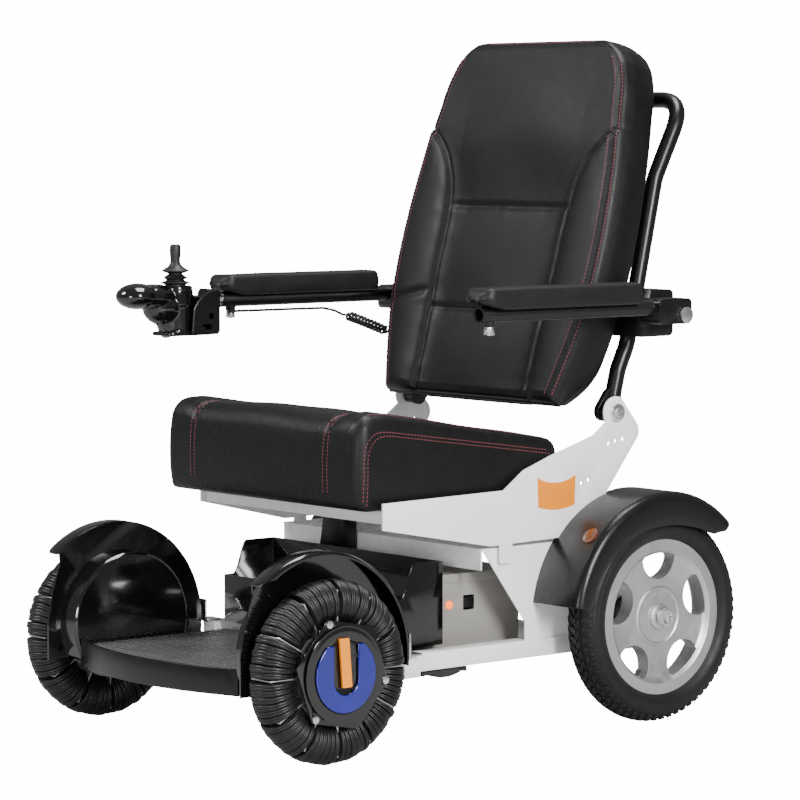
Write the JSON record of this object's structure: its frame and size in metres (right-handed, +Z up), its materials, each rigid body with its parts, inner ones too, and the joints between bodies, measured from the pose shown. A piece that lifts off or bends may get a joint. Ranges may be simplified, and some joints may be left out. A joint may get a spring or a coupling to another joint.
{
  "type": "power wheelchair",
  "caption": "Power wheelchair with omni-directional front wheels, braked rear drive wheels, padded seat, reclining back, flip-up arms and a joystick controller.",
  "frame": {"origin": "centre of the bounding box on the floor", "axes": "+X to the user's left, +Y to the rear, +Z up; the chair drives towards -Y"},
  "size_m": [0.668, 0.8964, 1.0163],
  "materials": {
    "white_paint": "gloss powder coat",
    "black_gloss": "gloss",
    "grey_case": "fine texture",
    "black_matte": "satin",
    "amber_lens": "clear lens",
    "tread_metal": "ribbed, satin",
    "black_paint": "satin powder coat",
    "bright_steel": "satin",
    "orange_lens": "moulded lens",
    "motor_grey": "cast",
    "silver_alloy": "silver paint",
    "tyre": "moulded tread",
    "rubber": "matte",
    "blue_gloss": "gloss",
    "leather": "grained, double stitched",
    "pad_rubber": "moulded skin"
  },
  "bodies": {
    "base": {"base_frame": "white_paint", "belly_pan": "black_gloss", "rear_body": "white_paint", "battery_box": "grey_case", "battery_lid": "grey_case", "status_lamp": "amber_lens", "front_tray": "black_gloss", "footplate": "tread_metal", "footplate_skirt": "black_matte", "front_axle": "black_paint", "front_fender_left": "black_gloss", "front_fender_right": "black_gloss", "fender_stays": "bright_steel", "rear_fender_left": "black_gloss", "rear_fender_right": "black_gloss", "fender_reflectors": "orange_lens", "drive_motor_left": "motor_grey", "drive_motor_right": "motor_grey", "seat_post": "black_paint", "seat_frame": "white_paint", "seat_cushion": "leather", "recline_pins": "bright_steel"},
    "back": {"back_frame": "black_paint", "back_panel": "black_matte", "back_cushion": "leather", "arm_clamp_left": "black_paint", "arm_clamp_right": "black_paint", "arm_pins": "bright_steel"},
    "left_arm": {"arm_left": "black_paint", "arm_pad_left": "pad_rubber"},
    "right_arm": {"arm_right": "black_paint", "arm_pad_right": "pad_rubber", "controller_cable": "rubber"},
    "controller": {"slide_tube": "bright_steel", "controller_bracket": "black_paint", "controller_body": "black_gloss"},
    "gimbal": {"joystick_gimbal": "motor_grey"},
    "stick": {"joystick_lever": "black_matte", "joystick_boot": "rubber"},
    "left_omni": {"omni_hub_left": "silver_alloy", "omni_discs_left": "rubber", "omni_plate_left": "black_gloss", "omni_cap_left": "blue_gloss", "omni_bolts_left": "bright_steel"},
    "right_omni": {"omni_hub_right": "silver_alloy", "omni_discs_right": "rubber", "omni_plate_right": "black_gloss", "omni_cap_right": "blue_gloss", "omni_bolts_right": "bright_steel"},
    "left_drive": {"drive_shaft_left": "bright_steel", "rear_rim_left": "silver_alloy", "rear_tyre_left": "tyre"},
    "right_drive": {"drive_shaft_right": "bright_steel", "rear_rim_right": "silver_alloy", "rear_tyre_right": "tyre"},
    "left_knob": {"clamp_knob_left": "bright_steel"},
    "right_knob": {"clamp_knob_right": "bright_steel"},
    "power_button": {"power_key": "black_matte"},
    "horn_button": {"horn_key": "black_matte"},
    "rocker": {"power_switch": "black_matte"}
  },
  "joints": [
    {"name": "back_recline", "type": "hinge", "parent": "base", "child": "back", "pos_m": [0, 0.26215, 0.462], "axis": [-1, 0, 0], "range_deg": [-5, 25]},
    {"name": "left_arm_flip", "type": "hinge", "parent": "back", "child": "left_arm", "pos_m": [0.304, 0.32515, 0.609], "axis": [-1, 0, 0], "range_deg": [0, 95]},
    {"name": "right_arm_flip", "type": "hinge", "parent": "back", "child": "right_arm", "pos_m": [-0.304, 0.32515, 0.609], "axis": [-1, 0, 0], "range_deg": [0, 95]},
    {"name": "left_drive_spin", "type": "hinge", "parent": "base", "child": "left_drive", "pos_m": [0.295, 0.28915, 0.159], "axis": [1, 0, 0], "continuous": true},
    {"name": "right_drive_spin", "type": "hinge", "parent": "base", "child": "right_drive", "pos_m": [-0.295, 0.28915, 0.159], "axis": [1, 0, 0], "continuous": true},
    {"name": "left_omni_spin", "type": "hinge", "parent": "base", "child": "left_omni", "pos_m": [0.272, -0.31485, 0.131], "axis": [1, 0, 0], "continuous": true},
    {"name": "right_omni_spin", "type": "hinge", "parent": "base", "child": "right_omni", "pos_m": [-0.272, -0.31485, 0.131], "axis": [1, 0, 0], "continuous": true},
    {"name": "controller_slide", "type": "slide", "parent": "right_arm", "child": "controller", "axis": [0, -1, 0], "range_m": [0, 0.08]},
    {"name": "stick_forward", "type": "hinge", "parent": "controller", "child": "gimbal", "pos_m": [-0.293, -0.15885, 0.635], "axis": [1, 0, 0], "range_deg": [-12, 12], "stiffness_Nm_per_rad": 0.4},
    {"name": "stick_sideways", "type": "hinge", "parent": "gimbal", "child": "stick", "pos_m": [-0.293, -0.15885, 0.635], "axis": [0, 1, 0], "range_deg": [-12, 12], "stiffness_Nm_per_rad": 0.4},
    {"name": "power_press", "type": "slide", "parent": "controller", "child": "power_button", "axis": [0, 0, -1], "range_m": [0, 0.0015], "stiffness_N_per_m": 300},
    {"name": "horn_press", "type": "slide", "parent": "controller", "child": "horn_button", "axis": [0, 0, -1], "range_m": [0, 0.0015], "stiffness_N_per_m": 300},
    {"name": "rocker_tilt", "type": "hinge", "parent": "base", "child": "rocker", "pos_m": [0.166, 0.03015, 0.189], "axis": [0, 1, 0], "range_deg": [-8, 8]},
    {"name": "left_knob_turn", "type": "hinge", "parent": "left_arm", "child": "left_knob", "pos_m": [0.304, -0.04485, 0.601], "axis": [0, 0, 1], "range_deg": [-180, 180]},
    {"name": "right_knob_turn", "type": "hinge", "parent": "right_arm", "child": "right_knob", "pos_m": [-0.304, -0.04485, 0.601], "axis": [0, 0, 1], "range_deg": [-180, 180]}
  ]
}
